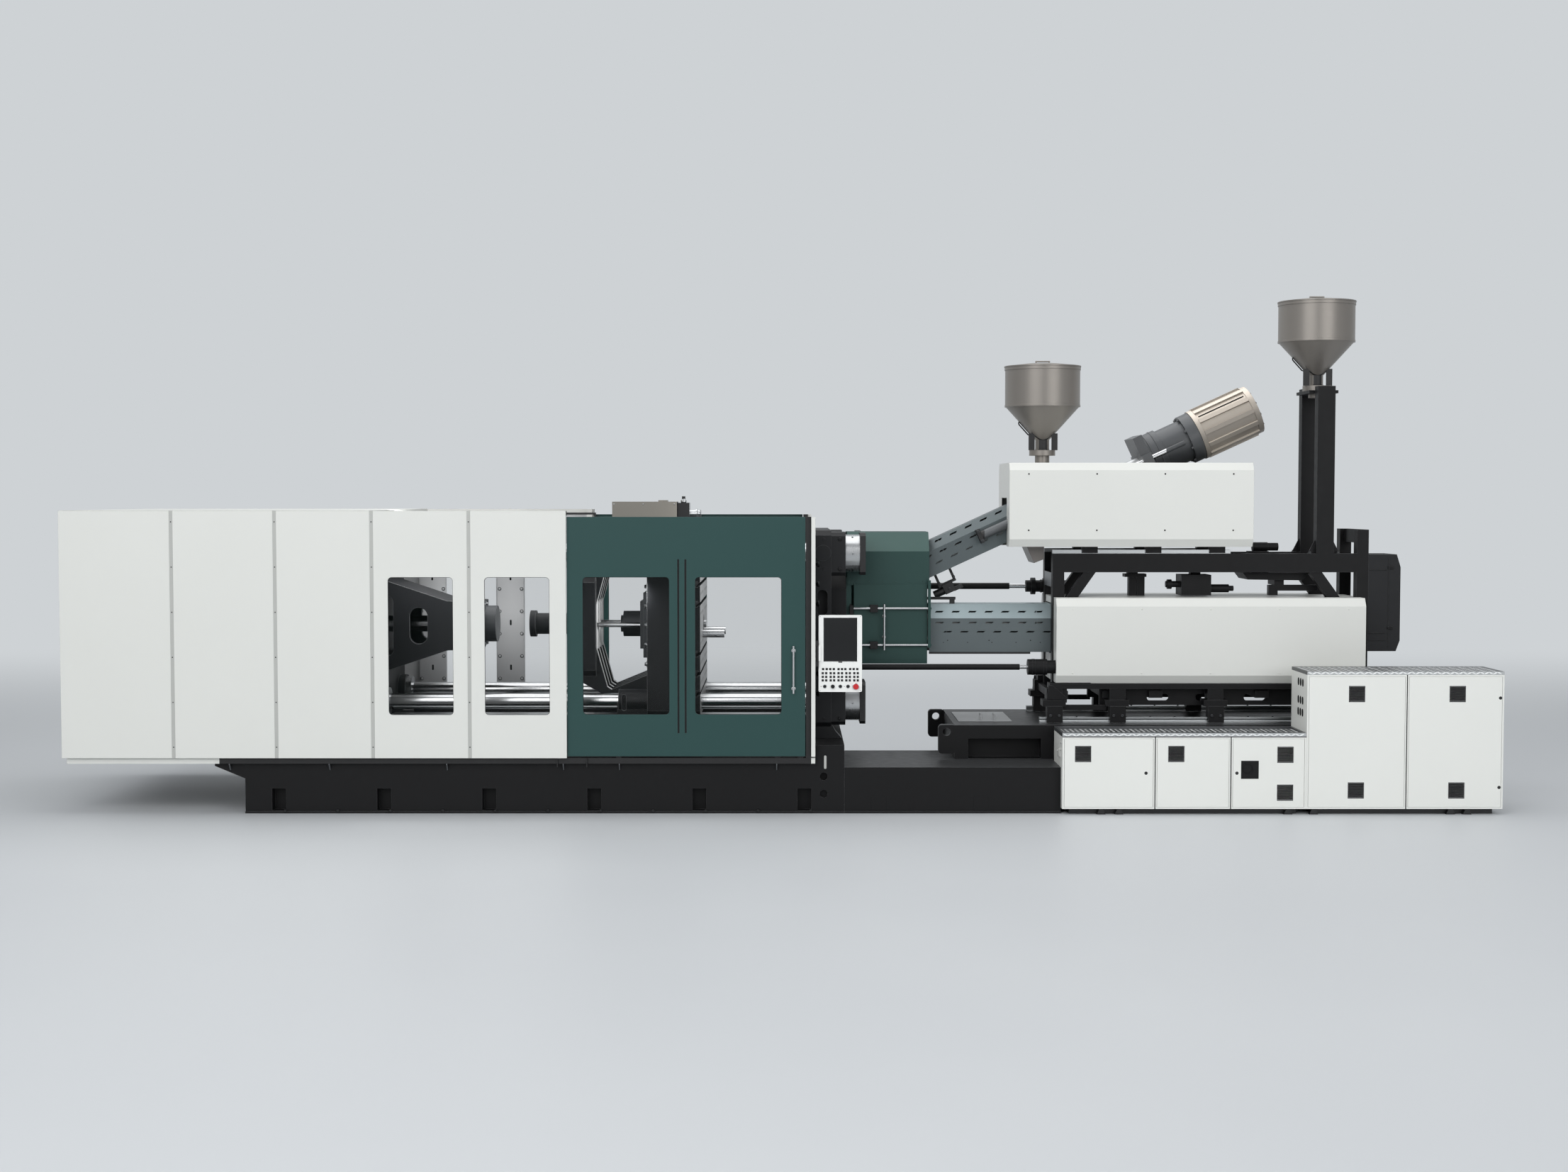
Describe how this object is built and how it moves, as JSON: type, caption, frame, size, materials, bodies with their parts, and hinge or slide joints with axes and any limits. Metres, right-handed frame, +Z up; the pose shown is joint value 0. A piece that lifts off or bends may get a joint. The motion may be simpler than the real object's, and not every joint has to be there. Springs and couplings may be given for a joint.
{
  "type": "injection moulding machine",
  "caption": "Large hydraulic injection moulding machine with a guarded clamp, a level barrel, a second inclined unit on a raised frame, hoppers and electric cabinets.",
  "frame": {"origin": "on the floor under the centre of the machine's length and width", "axes": "+X along the machine towards the injection side, -Y the operator's side, +Z up"},
  "size_m": [11.24, 2.36, 4.1423],
  "materials": {
    "base_black": "satin",
    "deck_grey": "satin",
    "casting_black": "semi-gloss paint on casting",
    "cylinder_dark": "satin",
    "tie_chrome": "hard chrome",
    "nut_steel": "machined",
    "frame_grey": "satin",
    "panel_white": "semi-gloss powder coat",
    "pane": "clear",
    "door_green": "semi-gloss powder coat",
    "purge_green": "semi-gloss powder coat",
    "rail_steel": "ground",
    "hatch_grey": "satin",
    "unit_beige": "satin",
    "rod_chrome": "hard chrome",
    "frame_black": "semi-gloss",
    "cover_white": "semi-gloss powder coat",
    "band_steel": "rolled sheet",
    "barrel_grey": "satin",
    "screw_steel": "polished",
    "electric_black": "satin",
    "hopper_grey": "satin metallic",
    "motor_beige": "satin metallic",
    "cabinet_white": "semi-gloss powder coat",
    "panel_plastic": "fine texture",
    "screen_dark": "gloss",
    "stop_red": "gloss",
    "button_black": "satin"
  },
  "bodies": {
    "machine": {"clamp_base": "base_black", "injection_base": "deck_grey", "fixed_platen": "casting_black", "rear_platen": "casting_black", "clamp_cylinder": "cylinder_dark", "tie_bars": "tie_chrome", "tie_bar_nuts": "nut_steel", "guard_frame": "frame_grey", "guard_panels": "panel_white", "guard_panes": "pane", "purge_guard": "purge_green", "carriage_rails": "rail_steel", "carriage_base": "base_black", "carriage_hatch": "hatch_grey", "carriage_cylinders": "frame_black", "low_cabinet": "cabinet_white", "tall_cabinet": "cabinet_white"},
    "moving_platen": {"moving_platen": "casting_black", "platen_valve_unit": "unit_beige", "ejector_cylinder": "cylinder_dark"},
    "ejector": {"ejector_rods": "rod_chrome"},
    "clamp_ram": {"clamp_ram": "rod_chrome"},
    "front_door": {"front_door": "door_green", "front_door_panes": "pane"},
    "rear_door": {"rear_door": "door_green", "rear_door_panes": "pane"},
    "purge_door": {"purge_door": "purge_green"},
    "carriage": {"carriage_frame": "frame_black", "mezzanine_frame": "frame_black", "main_cover": "cover_white", "main_barrel": "band_steel", "barrel_cover": "barrel_grey", "pull_rods": "frame_black", "electric_box": "electric_black", "hopper_2": "hopper_grey", "hopper_2_lid": "hopper_grey", "mezzanine_valves": "frame_black"},
    "main_drive": {"main_drive": "cylinder_dark"},
    "main_screw": {"main_screw": "screw_steel"},
    "upper_unit": {"upper_sled": "frame_black", "upper_cover": "cover_white", "upper_barrel": "band_steel", "upper_barrel_cover": "barrel_grey", "hopper_1": "hopper_grey", "hopper_1_lid": "hopper_grey"},
    "upper_drive": {"upper_gearbox": "cylinder_dark", "upper_motor": "motor_beige"},
    "upper_screw": {"upper_screw": "screw_steel"},
    "operator_panel": {"hmi_housing": "panel_plastic", "hmi_screen": "screen_dark"},
    "e_stop": {"e_stop": "stop_red"},
    "selector_knob": {"selector_knob": "button_black"},
    "button_left": {"button_left": "button_black"},
    "button_middle": {"button_middle": "button_black"},
    "button_right": {"button_right": "button_black"},
    "low_door_left": {"low_door_left": "cabinet_white"},
    "low_door_middle": {"low_door_middle": "cabinet_white"},
    "low_door_right": {"low_door_right": "cabinet_white"},
    "tall_door_left": {"tall_door_left": "cabinet_white"},
    "tall_door_right": {"tall_door_right": "cabinet_white"}
  },
  "joints": [
    {"name": "moving_platen_slide", "type": "slide", "parent": "machine", "child": "moving_platen", "axis": [1, 0, 0], "range_m": [-0.1, 0.5]},
    {"name": "ejector_slide", "type": "slide", "parent": "moving_platen", "child": "ejector", "axis": [1, 0, 0], "range_m": [0, 0.15]},
    {"name": "clamp_ram_slide", "type": "slide", "parent": "machine", "child": "clamp_ram", "axis": [1, 0, 0], "range_m": [0, 0.15]},
    {"name": "front_door_slide", "type": "slide", "parent": "machine", "child": "front_door", "axis": [-1, 0, 0], "range_m": [0, 1.25]},
    {"name": "rear_door_slide", "type": "slide", "parent": "machine", "child": "rear_door", "axis": [-1, 0, 0], "range_m": [0, 1.25]},
    {"name": "purge_door_slide", "type": "slide", "parent": "machine", "child": "purge_door", "axis": [1, 0, 0], "range_m": [0, 0.35]},
    {"name": "carriage_slide", "type": "slide", "parent": "machine", "child": "carriage", "axis": [1, 0, 0], "range_m": [-0.05, 0.3]},
    {"name": "main_drive_slide", "type": "slide", "parent": "carriage", "child": "main_drive", "axis": [1, 0, 0], "range_m": [0, 0.25]},
    {"name": "main_screw_turn", "type": "hinge", "parent": "main_drive", "child": "main_screw", "pos_m": [2, 0, 1.42], "axis": [1, 0, 0], "continuous": true},
    {"name": "upper_unit_slide", "type": "slide", "parent": "carriage", "child": "upper_unit", "axis": [1, 0, 0], "range_m": [-0.09, 0.02]},
    {"name": "upper_drive_slide", "type": "slide", "parent": "upper_unit", "child": "upper_drive", "axis": [0.9085, 0, 0.4179], "range_m": [0, 0.2]},
    {"name": "upper_screw_turn", "type": "hinge", "parent": "upper_drive", "child": "upper_screw", "pos_m": [0.032, 0, 1.42], "axis": [0.9085, 0, 0.4179], "continuous": true},
    {"name": "panel_swivel", "type": "hinge", "parent": "machine", "child": "operator_panel", "pos_m": [0.266, -1.166, 1.26], "axis": [0, 0, -1], "range_deg": [0, 75]},
    {"name": "e_stop_press", "type": "slide", "parent": "operator_panel", "child": "e_stop", "axis": [0, 1, 0], "range_m": [0, 0.004], "stiffness_N_per_m": 400},
    {"name": "button_left_press", "type": "slide", "parent": "operator_panel", "child": "button_left", "axis": [0, 1, 0], "range_m": [0, 0.004], "stiffness_N_per_m": 400},
    {"name": "button_middle_press", "type": "slide", "parent": "operator_panel", "child": "button_middle", "axis": [0, 1, 0], "range_m": [0, 0.004], "stiffness_N_per_m": 400},
    {"name": "button_right_press", "type": "slide", "parent": "operator_panel", "child": "button_right", "axis": [0, 1, 0], "range_m": [0, 0.004], "stiffness_N_per_m": 400},
    {"name": "selector_turn", "type": "hinge", "parent": "operator_panel", "child": "selector_knob", "pos_m": [0.391, -1.154, 1.002], "axis": [0, 1, 0], "range_deg": [-60, 60]},
    {"name": "low_door_left_hinge", "type": "hinge", "parent": "machine", "child": "low_door_left", "pos_m": [2.202, -1.1757, 0.3], "axis": [0, 0, -1], "range_deg": [0, 100]},
    {"name": "low_door_middle_hinge", "type": "hinge", "parent": "machine", "child": "low_door_middle", "pos_m": [2.926, -1.1757, 0.3], "axis": [0, 0, -1], "range_deg": [0, 100]},
    {"name": "low_door_right_hinge", "type": "hinge", "parent": "machine", "child": "low_door_right", "pos_m": [4.065, -1.1757, 0.3], "axis": [0, 0, 1], "range_deg": [0, 90]},
    {"name": "tall_door_left_hinge", "type": "hinge", "parent": "machine", "child": "tall_door_left", "pos_m": [4.1053, -1.1757, 0.56], "axis": [0, 0, -1], "range_deg": [0, 90]},
    {"name": "tall_door_right_hinge", "type": "hinge", "parent": "machine", "child": "tall_door_right", "pos_m": [5.6, -1.1757, 0.56], "axis": [0, 0, 1], "range_deg": [0, 100]}
  ]
}
